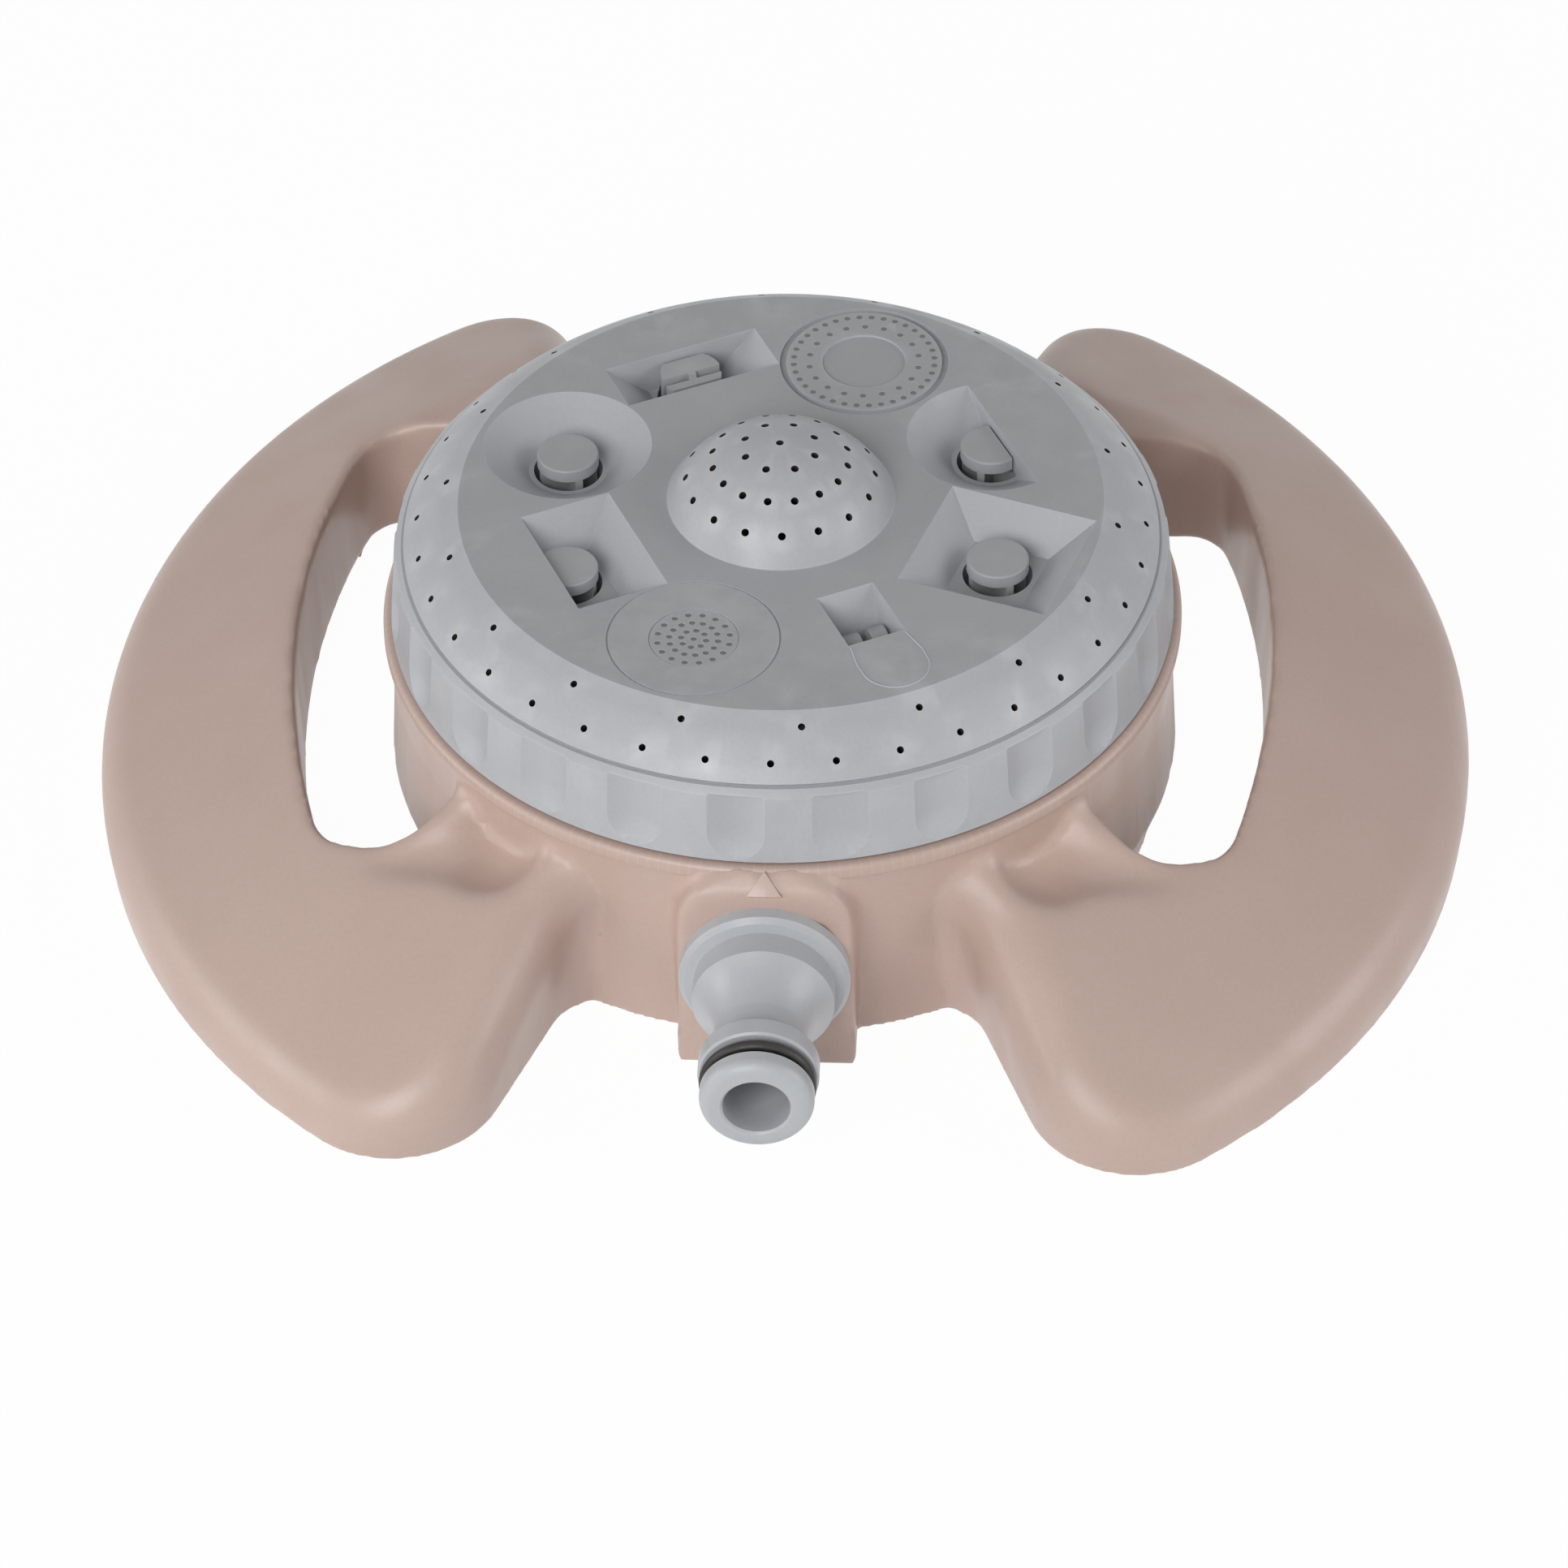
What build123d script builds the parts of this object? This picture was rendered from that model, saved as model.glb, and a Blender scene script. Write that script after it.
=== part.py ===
from build123d import *
from math import cos, radians, sin, tan
import os

# The dial axis is Z, the ground is z = 0 and the hose spigot points to -Y. Millimetres.

# Driving sizes of the base
plan_radius = 98.0
drum_top_radius = 56.7
drum_foot_radius = drum_top_radius - 3.2
drum_top = 33.9
base_draft = 5.0
wall = 2.4
deck_top = 30.0
deck_thickness = 2.4
deck_bottom = deck_top - deck_thickness
seat_radius = drum_top_radius - 2.5

# Wing handles, with angles measured from +X
front_root_angle = -59.3
front_side_lean = -68.7
rear_root_angle = 58.0
rear_side_lean = 78.1
arm_root_radius = drum_foot_radius - 2.0
arm_root_round = 9.0
front_tip_radius = 15.0
rear_tip_radius = 12.0
wing_tilt = 3.9
wing_edge_round = 8.0
opening_draft = 3.0
front_opening_corner = 7.5
rear_opening_corner = 6.0
skirt_radius = drum_top_radius + 0.2
lip_bottom = 9.0
lip_wall = 2.6

# Inlet block and pointer
block_half_width = 12.4
block_front = drum_top_radius + 2.4
block_wall = 3.0
spigot_height = 17.5
spigot_stem_radius = 6.5
seal_distance = -8.15
o_ring_distance = 22.45

# Dial
dial_turn = 3.4
dial_bottom = 34.2
rim_radius = drum_top_radius - 1.1
rim_gap = 0.5
plate_bottom = 34.6
plate_top = 36.8
plate_radius = rim_radius - 2.4
flat_top = 53.3
flat_radius = rim_radius - 10.2
flat_thickness = 2.0
station_radius = 32.5
station_angles = [-112.5 + 45 * step for step in range(8)]
pocket_floor = 48.85
pocket_floor_thickness = 1.6
riser_radius = 4.9
riser_wall = 1.4
cap_radius = 4.37
cap_top = 51.9
cap_thickness = 1.9
half_round_cut = 1.7
rectangle_cut = 2.55

# Shower dome
dome_radius = 17.9
dome_top = 63.1
dome_wall = 1.8
spray_hole = 0.55

# Pivot, outlet and click in the base
running_gap = 0.05
resting_gap = 0.02
pivot_boss_bottom = 18.0
pivot_boss_top = 33.0
pivot_pin_radius = 4.0
pivot_pin_bottom = 17.6
bush_radius = 6.0
outlet_position = Pos(0, -station_radius, 0)
outlet_hole_radius = 7.1
sleeve_bore_radius = 6.6
sleeve_top = 32.0
collar_bottom = 23.0
cup_floor = 12.0
click_position = Pos(0, 44, 0)
click_radius = 2.5
click_floor = 16.0
click_spring_top = 25.0
spigot_screw_radius = 0.88
duct_screw_radius = 1.1


def revolved(points):
    """Solid turned about the dial axis from (radius, height) points."""
    return revolve(Plane.XZ * make_face(Polyline(*points, close=True)), Axis.Z)


def tube(outer, inner, low, high):
    return revolved([(inner, low), (outer, low), (outer, high), (inner, high)])


def rod(radius, low, high):
    return Pos(0, 0, (low + high) / 2) * Cylinder(radius, high - low)


def slab(x_size, y_size, low, high):
    return Pos(0, 0, (low + high) / 2) * Box(x_size, y_size, high - low)


def mirrored(shape):
    return mirror(shape, about=Plane.YZ)


def at_station(number, shape):
    """Puts a shape made about the dial axis on one station, +X pointing outwards."""
    return Rot(0, 0, station_angles[number]) * Pos(station_radius, 0, 0) * shape


# Wing handles

def polar(radius, angle):
    return Vector(radius * cos(radians(angle)), radius * sin(radians(angle)))


def half_plane(root_angle, lean, side, inset):
    """Big face on one side of a straight arm side, moved inwards by inset."""
    root = polar(drum_foot_radius + 2, root_angle)
    return Pos(root) * Rot(0, 0, lean) * Pos(0, side * (100 - inset)) * Rectangle(400, 200)


def wing_plan(inset):
    """Ground plan of the right wing with its two arms, made smaller by inset."""
    plan = Circle(plan_radius - inset)
    plan -= half_plane(front_root_angle, front_side_lean, -1, inset)
    plan -= half_plane(rear_root_angle, rear_side_lean, 1, inset)
    plan &= Pos(plan_radius, 0) * Rectangle(2 * plan_radius, 4 * plan_radius)
    rim = plan_radius - inset - 1
    tips = plan.vertices().filter_by(lambda v: Vector(v.X, v.Y).length > rim).sort_by(Axis.Y)
    plan = fillet(tips[0], front_tip_radius - inset)
    tips = plan.vertices().filter_by(lambda v: Vector(v.X, v.Y).length > rim).sort_by(Axis.Y)
    return fillet(tips[-1], rear_tip_radius - inset)


def base_plan(inset):
    """Ground plan of both wings and a disc inside the drum, round where they meet."""
    disc = arm_root_radius - inset
    plan = Circle(disc) + wing_plan(inset) + mirrored(wing_plan(inset))
    roots = plan.vertices().filter_by(lambda v: Vector(v.X, v.Y).length < disc + 0.5)
    return fillet(roots, arm_root_round + inset)


def wing_crown(drop):
    """Everything under the crowned top of the wings, lowered by drop."""
    inner = (plan_radius - 58, 37.4 - drop)
    outer = (plan_radius + 2, 11.5 - drop)
    crown = ThreePointArc(inner, (plan_radius - 23, 23.9 - drop), outer)
    sides = Polyline(outer, (plan_radius + 2, -20), (0, -20), (0, inner[1]), inner)
    return revolve(Plane.XZ * make_face(crown + sides), Axis.Z)


def drafted(plan):
    """Ground plan drawn upwards from 8 below the ground, growing by the draft of the base."""
    foot = offset(plan, -8 * tan(radians(base_draft)))
    return Pos(0, 0, -8) * extrude(foot, 53, taper=-base_draft)


def tilted(shape):
    """Wings leaning forwards, their rear edge higher than their front edge."""
    return Pos(0, 0.8, 0) * Rot(wing_tilt, 0, 0) * shape


def opening_plan(grow):
    """Ground plan of the grip opening between the right wing and the drum."""
    front = polar(plan_radius - 25.2, -31.2)
    side = polar(plan_radius - 29.6, 0.8)
    rear = polar(plan_radius - 21.9, 35.8)
    outer = ThreePointArc(front, side, rear)
    sides = Polyline(rear, (34.0, rear.Y), (34.0, -25.0), polar(plan_radius - 31.5, -37.8), front)
    plan = make_face(outer + sides)
    corners = plan.vertices().filter_by(lambda v: v.X > 50).sort_by(Axis.Y)
    plan = fillet(corners[:2], front_opening_corner)
    plan = fillet(plan.vertices().filter_by(lambda v: v.X > 50).sort_by(Axis.Y)[-1], rear_opening_corner)
    plan -= Circle(skirt_radius)
    return offset(plan, grow, kind=Kind.ARC) if grow else plan


def opening_cut(grow, height):
    return extrude(opening_plan(grow), height, taper=-opening_draft)


def arm_valleys(drop):
    """Round-ended valleys beside the grip opening, deepest next to the drum."""
    front = valley(Vector(58.5, -44.4, 21.9 - drop), Vector(40.0, -47.0, 23.0 - drop), 10.0)
    rear = valley(Vector(58.5, 47.8, 27.0 - drop), Vector(40.0, 49.0, 28.4 - drop), 10.0)
    return front + rear


def valley(tip, floor, radius):
    """Cone with a round end, lying with its lowest line from its tip to a floor point."""
    centre = floor + Vector(0, 0, radius)
    length = (centre - tip).length
    base = Plane(origin=centre, z_dir=tip - centre)
    return base * Pos(0, 0, length / 2) * Cone(radius, 0.2, length) + Pos(centre) * Sphere(radius)


def wing_body(inset):
    """Both wings as one solid with rounded upper edges, made smaller all over by inset."""
    block = drafted(base_plan(inset)) & wing_crown(inset)
    kinds = (GeomType.REVOLUTION, GeomType.TORUS)
    crown = block.faces().filter_by(lambda f: f.geom_type in kinds).sort_by(SortBy.AREA)[-1]
    return tilted(fillet(crown.edges(), wing_edge_round - inset))


def both_openings(grow, height):
    cut = opening_cut(grow, height)
    return cut + mirrored(cut)


def both_valleys(drop):
    cuts = arm_valleys(drop)
    return cuts + mirrored(cuts)


def rounded_wings():
    """Both wings down to the ground, cut by valleys and grip openings."""
    block = wing_body(0) - slab(300, 300, -30, 0)
    return block - both_valleys(0) - both_openings(0, 60)


def wing_hollow(drum):
    """Space under both wings, closed by the grip lips and the drum wall."""
    body = wing_body(wall)
    hollow = body - both_valleys(wall) - both_openings(lip_wall, 60)
    under_lips = both_openings(lip_wall + 0.2, lip_bottom) & body
    return hollow + under_lips - drum


def wing_ribs():
    """Stiffening ribs across the hollows of both wings."""
    blade = Pos(plan_radius - 16, 0, 0) * slab(40, 1.8, 6, 40)
    ribs = Rot(0, 0, -32) * blade + blade + Rot(0, 0, 32) * blade
    ribs += mirrored(ribs)
    return (ribs & wing_body(1)) - both_openings(1, 60)


# Base shell

def drum_outside():
    flare = (drum_top - 2.4) * tan(radians(base_draft))
    return revolved([
        (0, 0), (drum_foot_radius, 0), (drum_foot_radius + flare, drum_top - 2.4),
        (drum_top_radius, drum_top - 2.0), (drum_top_radius - 0.2, drum_top - 0.6),
        (drum_top_radius - 0.9, drum_top), (0, drum_top),
    ])


def drum_hollow():
    foot = drum_foot_radius - wall
    return revolved([(0, -1), (foot, -1), (foot + 3.0, deck_bottom), (0, deck_bottom)])


def inlet_block(inset):
    half = block_half_width - inset
    top = drum_top - inset
    depth = 20
    face = Pos(0, top / 2) * Rectangle(2 * half, top)
    face = fillet(face.vertices().sort_by(Axis.Y)[-2:], 9.0 - inset)
    block = extrude(Plane.XZ * face, depth)
    return Pos(0, -block_front + inset + depth, 0) * block


def pointer():
    """Raised triangle on the sloping top of the inlet block."""
    outline = make_face(Polyline((-2.35, 0), (2.35, 0), (0, 3.4), close=True))
    slope = Pos(0, -block_front + 0.4, drum_top - 3.0) * Rot(45, 0, 0)
    return slope * extrude(outline, 1.1, taper=12) + slope * Pos(0, 0, -0.8) * extrude(outline, 0.8)


def base_shell():
    drum = drum_outside()
    hollow = wing_hollow(drum)
    ribs = wing_ribs() - drum

    block = inlet_block(0)
    block -= Pos(0, -block_front, drum_top) * Rot(45, 0, 0) * Box(60, 3.4, 3.4)
    shell = drum + block + rounded_wings()
    shell = shell - hollow - drum_hollow()
    shell -= Pos(0, -block_front + 10 + block_wall, 0) * slab(19, 20, -1, deck_bottom)
    shell -= rod(seat_radius, deck_top, 60) + rod(rim_radius + rim_gap, drum_top, 60)
    shell = shell + ribs + pointer()

    # Pivot boss, outlet hole, click housing and screw posts
    shell += rod(9.5, pivot_boss_bottom, pivot_boss_top)
    shell -= rod(bush_radius + resting_gap, 10, 60)
    shell -= outlet_position * rod(outlet_hole_radius, 20, 60)
    shell += click_position * rod(click_radius + 2.3, 14, deck_bottom + 1)
    shell -= click_position * rod(click_radius + running_gap, click_floor, 60)
    for place in duct_screw_positions():
        shell += place * rod(3.0, deck_top - 0.5, 33.0)
        shell -= place * rod(duct_screw_radius + resting_gap, 20, 32.2)

    # Spigot stem hole and its two screw holes
    stem_hole = Rot(90, 0, 0) * Cylinder(spigot_stem_radius + 0.1, 20)
    shell -= Pos(0, -block_front, spigot_height) * stem_hole
    for place in spigot_screw_positions():
        shell -= place * Cylinder(spigot_screw_radius + 0.3, 20)

    # Radial ribs under the deck
    for angle in (25, 65, 115, 155, 205, 335):
        shell += Rot(0, 0, angle) * Pos(30, 0, 0) * slab(42, 1.6, 20, deck_bottom + 1)
    return shell


# Hose spigot, made along Z and then turned to point to -Y

def spigot_screw_positions():
    """Two frames on the block front, their Z axis pointing out along the spigot."""
    return [
        Pos(side * 7.0, -block_front, spigot_height + side * 7.0) * Rot(90, 0, 0)
        for side in (-1, 1)
    ]


def spigot_axis(distance):
    """Frame on the spigot axis at a distance before the block face, Z pointing out."""
    return Pos(0, -block_front - distance, spigot_height) * Rot(90, 0, 0)


def along_spigot(points):
    """Solid turned about the spigot axis from (radius, distance before the block face) points."""
    return spigot_axis(0) * revolved(points)


def inlet_spigot():
    flange_radius = 11.85
    shoulder_radius = 9.8
    neck_radius = 6.5
    ridge_radius = 8.3
    groove_radius = 6.45
    tip_radius = 7.85
    tip_end = 27.1
    bore_radius = 4.65
    stem = spigot_stem_radius
    stem_end = -10.6
    waist_start = (shoulder_radius - 0.5, 7.1)
    waist_end = (neck_radius, 13.5)
    nose_start = (tip_radius, tip_end - 1.8)
    nose_end = (tip_radius - 1.8, tip_end)

    body = Polyline(
        (bore_radius, stem_end), (stem - 0.4, stem_end), (stem, stem_end + 0.4), (stem, 0),
        (flange_radius, 0), (flange_radius, 1.8), (flange_radius - 0.7, 2.5),
        (shoulder_radius, 2.8), (shoulder_radius, 6.5), waist_start,
    )
    waist = ThreePointArc(waist_start, (7.6, 9.8), waist_end)
    front = Polyline(
        waist_end, (neck_radius, 16.5), (ridge_radius - 0.3, 17.8), (ridge_radius, 18.2),
        (ridge_radius, 20.8), (ridge_radius - 0.3, 21.1), (groove_radius, 21.1),
        (groove_radius, 23.8), (tip_radius - 0.3, 23.8), (tip_radius, 24.1), nose_start,
    )
    nose = ThreePointArc(nose_start, (tip_radius - 0.53, tip_end - 0.53), nose_end)
    bore = Polyline(
        nose_end, (bore_radius + 0.3, tip_end), (bore_radius, tip_end - 0.3),
        (bore_radius, stem_end),
    )
    profile = Plane.XZ * make_face(body + waist + front + nose + bore)
    spigot = spigot_axis(0) * revolve(profile, Axis.Z)
    for place in spigot_screw_positions():
        spigot -= place * Cylinder(spigot_screw_radius + resting_gap, 4.2)
    low, high = seal_distance - 0.65, seal_distance + 0.65
    return spigot - along_spigot([(5.4, low), (stem + 1, low), (stem + 1, high), (5.4, high)])


def spigot_ring(centre_radius, wire, distance):
    return spigot_axis(distance) * Torus(centre_radius, wire)


def screw(place, shank, head, tip, seat, head_height):
    """Screw along the Z axis of a frame, from its tip to the back of its head."""
    low, high = min(tip, seat), max(tip, seat)
    back = seat + head_height if seat > tip else seat - head_height
    shape = rod(shank, low, high) + rod(head, min(seat, back), max(seat, back))
    return place * shape


def spigot_screws():
    return Compound(children=[
        screw(place, spigot_screw_radius, 1.8, 2.0, -5.32, 1.5)
        for place in spigot_screw_positions()
    ])


# Water duct and sliding outlet

def duct_screw_positions():
    return [Pos(side * 13, -station_radius, 0) for side in (-1, 1)]


def feed_duct():
    cup_radius = 8.3
    pipe_radius = 8.2
    bore_radius = 4.65
    socket_radius = spigot_stem_radius + 0.1
    socket_bottom = -12.6
    top = deck_bottom - resting_gap
    flange_face = -block_wall - 2 * resting_gap
    flange = 2.26
    start = station_radius - block_front - 0.5
    back = flange_face - flange
    duct = outlet_position * rod(cup_radius, 8.0, top)
    duct += outlet_position * slab(32, 7, 25.2, top)
    duct += along_spigot([(0, start), (pipe_radius, start), (pipe_radius, back), (0, back)])
    duct += spigot_axis(flange_face - flange / 2) * Box(18.4, 18.4, flange)
    duct -= outlet_position * rod(sleeve_bore_radius, cup_floor, 40)
    duct -= spigot_axis(socket_bottom + 10) * Cylinder(socket_radius, 20)
    bore_length = socket_bottom + 0.5 - start
    duct -= spigot_axis(start + bore_length / 2) * Cylinder(bore_radius, bore_length)
    for place in duct_screw_positions():
        duct -= place * rod(duct_screw_radius + 0.2, 20, 30)
    for place in spigot_screw_positions():
        duct -= place * Cylinder(spigot_screw_radius + 0.2, 20)
        duct -= place * rod(2.0, -12, -5.3)
    return duct


def duct_screws():
    return Compound(children=[
        screw(place, duct_screw_radius, 2.2, 31.6, 25.18, 1.6)
        for place in duct_screw_positions()
    ])


def outlet_sleeve():
    collar = sleeve_bore_radius - 0.1
    sleeve = tube(5.0, 4.0, 20.5, sleeve_top)
    sleeve += tube(collar, 4.0, collar_bottom, collar_bottom + 3.6)
    sleeve -= tube(collar + 1, 5.7, collar_bottom + 1.2, collar_bottom + 2.4)
    return outlet_position * sleeve


def sleeve_ring():
    return outlet_position * Pos(0, 0, collar_bottom + 1.8) * Torus(6.14, 0.43)


def outlet_seal():
    face = plate_bottom - running_gap
    seal = tube(6.5, 4.2, 30.4, face) - rod(5.0 + resting_gap, 30, sleeve_top + resting_gap)
    return outlet_position * seal


def coil_spring(radius, wire, low, high, turns):
    """Round wire spring standing on the dial axis."""
    height = high - low - 2 * wire
    path = Helix(pitch=height / turns, height=height, radius=radius)
    section = Plane(origin=path @ 0, z_dir=path % 0) * RegularPolygon(wire, 6)
    return Pos(0, 0, low + wire) * sweep(section, path=path)


def outlet_spring():
    return outlet_position * coil_spring(5.75, 0.45, cup_floor + 0.1, collar_bottom - 0.1, 4)


# Click plunger

def click_plunger():
    body = rod(click_radius, click_spring_top, plate_bottom - running_gap)
    body = fillet(body.edges().filter_by(GeomType.CIRCLE).sort_by(Axis.Z)[-1], 1.4)
    return click_position * body


def click_spring():
    low = click_floor + 0.1
    return click_position * coil_spring(1.7, 0.35, low, click_spring_top - 0.1, 5)


# Pivot

def pivot_bush():
    inner = pivot_pin_radius + running_gap
    bush = tube(bush_radius, inner, pivot_boss_bottom, pivot_boss_top + 0.5)
    return bush + tube(9.0, inner, pivot_boss_top + resting_gap, 34.2)


def pivot_washer():
    return tube(8.5, 2.1, 16.2, pivot_pin_bottom - resting_gap)


def pivot_screw():
    return screw(Pos(0, 0, 0), 1.88, 3.8, 29.0, 16.18, 2.8)


# Dial, made with the stations half a step off the pointer

def port_plate():
    plate = rod(plate_radius, plate_bottom, plate_top)
    plate += rod(pivot_pin_radius, pivot_pin_bottom, plate_bottom + 1)
    plate -= rod(1.9, 10, 30.5)
    for number in range(len(station_angles)):
        plate -= at_station(number, rod(4.2, plate_bottom - 1, plate_top + 1))
        notch = Pos(44 - station_radius, 0, plate_bottom - 2.2) * Sphere(3.1)
        plate -= at_station(number, notch)
    return plate


def dial_outside():
    rim = Polyline(
        (0, flat_top), (0, dial_bottom), (rim_radius - 0.3, dial_bottom),
        (rim_radius, dial_bottom + 0.3), (rim_radius - 0.9, 45.4), (rim_radius - 1.9, 46.3),
        (rim_radius - 2.6, 46.3), (rim_radius - 2.3, 46.8),
    )
    shoulder = ThreePointArc(
        (rim_radius - 2.3, 46.8), (rim_radius - 5.0, 49.65), (flat_radius, flat_top)
    )
    flat = Line((flat_radius, flat_top), (0, flat_top))
    return revolve(Plane.XZ * make_face(rim + shoulder + flat), Axis.Z)


def dial_hollow():
    inner = rim_radius - 3.3
    under = flat_top - flat_thickness
    return revolved([
        (0, 30), (plate_radius + 0.05, 30), (plate_radius + 0.05, plate_top), (inner, plate_top),
        (inner, 44.3), (inner - 2.0, 47.2), (flat_radius - 0.5, under), (0, under),
    ])


def grip_scallop(angle):
    """Round-bottomed dent in the grip rim."""
    radius = 8.5
    dent = rod(radius, 0, 6.5) + Sphere(radius)
    reach = rim_radius - 1.55 + radius
    return Rot(0, 0, angle) * Pos(reach, 0, 39.7) * Rot(0, -4.6, 0) * dent


def funnel(top_face, floor_face, floor):
    """Pocket that narrows from the flat top down to its floor."""
    high = flat_top + 0.5
    return loft([Pos(0, 0, floor) * floor_face, Pos(0, 0, high) * top_face])


def beyond(distance):
    """Everything further out than a distance from the station centre."""
    return Pos(distance + 20, 0, 45) * Box(40, 60, 60)


def pocket_shapes():
    """Hollow of each pocket by station number, made about the station centre."""
    square = funnel(Rectangle(22.7, 22.7), Rectangle(11.1, 11.1), pocket_floor)
    bowl = funnel(Circle(12.7), Circle(5.6), pocket_floor)
    strip = funnel(Pos(-0.5, 0) * Rectangle(9.0, 24.4), Pos(-0.5, 0) * Rectangle(7.6, 10.6), 47.6)
    slot = funnel(Pos(-4.95, 0) * Rectangle(11.3, 8.6), Pos(-2.2, 0) * Rectangle(5.4, 6.6), 46.2)
    return {
        1: slot,
        2: square,
        3: bowl - beyond(half_round_cut),
        5: strip,
        6: bowl,
        7: square - beyond(rectangle_cut),
    }


def pocket_casings():
    """Walls around each pocket, made about the station centre."""
    low = pocket_floor - pocket_floor_thickness
    high = flat_top - 1
    return {
        1: Pos(-4.5, 0, 0) * slab(13.6, 11.4, 44.6, high),
        2: slab(24.0, 24.0, low, high),
        3: rod(13.4, low, high) - beyond(half_round_cut + 1.6),
        5: Pos(-0.5, 0, 0) * slab(11.6, 26.2, 46.0, high),
        6: rod(13.4, low, high),
        7: slab(24.0, 24.0, low, high) - beyond(rectangle_cut + 1.6),
    }


def walled_duct(start, end, grow):
    """Upright channel along the radius of a station, with its walls when grown."""
    half = 5.2 + grow
    low, high = plate_top, flat_top - flat_thickness
    span = end - start
    channel = Pos((start + end) / 2, 0, 0) * slab(span, 2 * half, low, high)
    return channel + rod(half, low, high)


def spray_holes_in_shoulder():
    holes = []
    outer_row = (36, 7.5, rim_radius - 4.2, 48.9)
    inner_row = (18, 12.5, rim_radius - 8.2, 51.9)
    for count, first, radius, height in (outer_row, inner_row):
        for step in range(count):
            turn = Rot(0, 0, first + step * 360 / count)
            holes.append(turn * Pos(radius, 0, height) * Rot(0, 38, 0) * Cylinder(0.5, 7))
    return holes


def spray_holes_in_dome():
    """One hole at the top and three rows around it, square to the dome."""
    centre = Pos(0, 0, dome_top - dome_radius)
    hole = Pos(0, 0, dome_radius) * Cylinder(spray_hole, 8)
    holes = [centre * hole]
    rows = ((8, 22.5, 17.0), (16, 11.25, 32.5), (16, 0.0, 48.0))
    for count, first, tilt in rows:
        for step in range(count):
            turn = Rot(0, 0, first + step * 360 / count)
            holes.append(centre * turn * Rot(0, tilt, 0) * hole)
    return holes


def dial_cover():
    cover = dial_outside() - dial_hollow()
    under = flat_top - flat_thickness
    chamber_radius = 14.7
    to_dome = chamber_radius - station_radius
    to_ring = flat_radius - station_radius

    # Risers, pocket casings and chamber walls
    for number, casing in pocket_casings().items():
        riser_end = casing.bounding_box().min.Z + 1
        cover += at_station(number, casing)
        cover += at_station(number, rod(riser_radius + riser_wall, plate_top, riser_end))
    cover += tube(chamber_radius + 1.5, chamber_radius, plate_top, flat_top - 1)
    cover += tube(flat_radius, flat_radius - 1.5, plate_top, under + 0.5)
    cover += at_station(0, walled_duct(to_dome, 0, riser_wall))
    cover += at_station(4, walled_duct(0, to_ring - 0.3, riser_wall))

    # Dome over its chamber
    centre = Pos(0, 0, dome_top - dome_radius)
    above = rod(30, flat_top - 1.6, 80)
    cover += (centre * Sphere(dome_radius)) & above
    cover -= (centre * Sphere(dome_radius - dome_wall)) & above
    cover -= rod(chamber_radius, plate_top - 1, flat_top - 1.5)

    # Water ways and pockets
    cover -= at_station(0, walled_duct(to_dome - 2, 0, 0))
    cover -= at_station(4, walled_duct(0, to_ring + 1, 0))
    for number, pocket in pocket_shapes().items():
        cover -= at_station(number, pocket)
        riser_top = pocket.bounding_box().min.Z + 0.5
        cover -= at_station(number, rod(riser_radius, plate_top - 1, riser_top))
    cover -= [grip_scallop(7.5 + 15 * step) for step in range(24)]
    cover -= spray_holes_in_shoulder()
    cover -= spray_holes_in_dome()

    # Pictograms of the two showers
    cover -= at_station(0, tube(12.1, 11.8, flat_top - 0.2, flat_top + 1))
    cover -= at_station(0, rod(6.25, flat_top - 0.25, flat_top + 1))
    cover -= at_station(4, tube(12.1, 11.2, flat_top - 0.5, flat_top + 1))
    cover -= at_station(4, rod(5.95, flat_top - 0.25, flat_top + 1))
    return cover


# Nozzle inserts, made about the station centre and standing in the risers

def nozzle_post():
    """Press-in ring with four ribs that carry the cap."""
    post = tube(riser_radius - resting_gap, 3.3, 38.0, 41.5)
    for turn in (45, 135):
        post += Rot(0, 0, turn) * slab(2 * (cap_radius - 0.2), 1.1, 38.0, cap_top - 1)
    return post


def cap():
    disc = rod(cap_radius, cap_top - cap_thickness, cap_top)
    return fillet(disc.edges().filter_by(GeomType.CIRCLE).sort_by(Axis.Z)[-1], 0.3)


def full_nozzle():
    return nozzle_post() + cap()


def cut_nozzle(distance):
    """Nozzle with its cap and ribs cut flat above the riser."""
    cut = Pos(distance + 20, 0, 52) * Box(40, 60, 7.5)
    return full_nozzle() - cut


def strip_nozzle():
    """Round head split by a webbed slot, its inner side cut back to a narrow plate."""
    head = rod(cap_radius, 41, cap_top + 0.2) + nozzle_post()
    slot = Pos(-0.6, 0, 0) * slab(0.9, 12, 46.5, 60) - Pos(-0.6, 0, 0) * slab(2, 1.1, 46, 60)
    inner_side = Pos(-22.4, 0, 0) * slab(40, 12, 46.5, 60)
    outer_side = Pos(13.1, 0, 0) * slab(20, 12, 47, 60)
    step = Pos(-2, 0, 0) * slab(2.6, 12, cap_top - 0.4, 60)
    return head - slot - inner_side - outer_side - step


def fan_nozzle():
    """Two half-lens lumps with an open slot between them."""
    foot = rod(cap_radius, 41, 46.0) + nozzle_post() - rod(20, 46.0, 60)
    lens = Pos(-2.0, 0, 46.0) * Rot(90, 0, 0) * Cylinder(2.1, 6.2)
    lens &= rod(20, 45.5, 60)
    slot = Pos(-2.0, 0, 0) * slab(12, 1.4, 44.0, 60)
    return foot + lens - slot


def on_dial(shape):
    return Rot(0, 0, dial_turn) * shape


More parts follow.
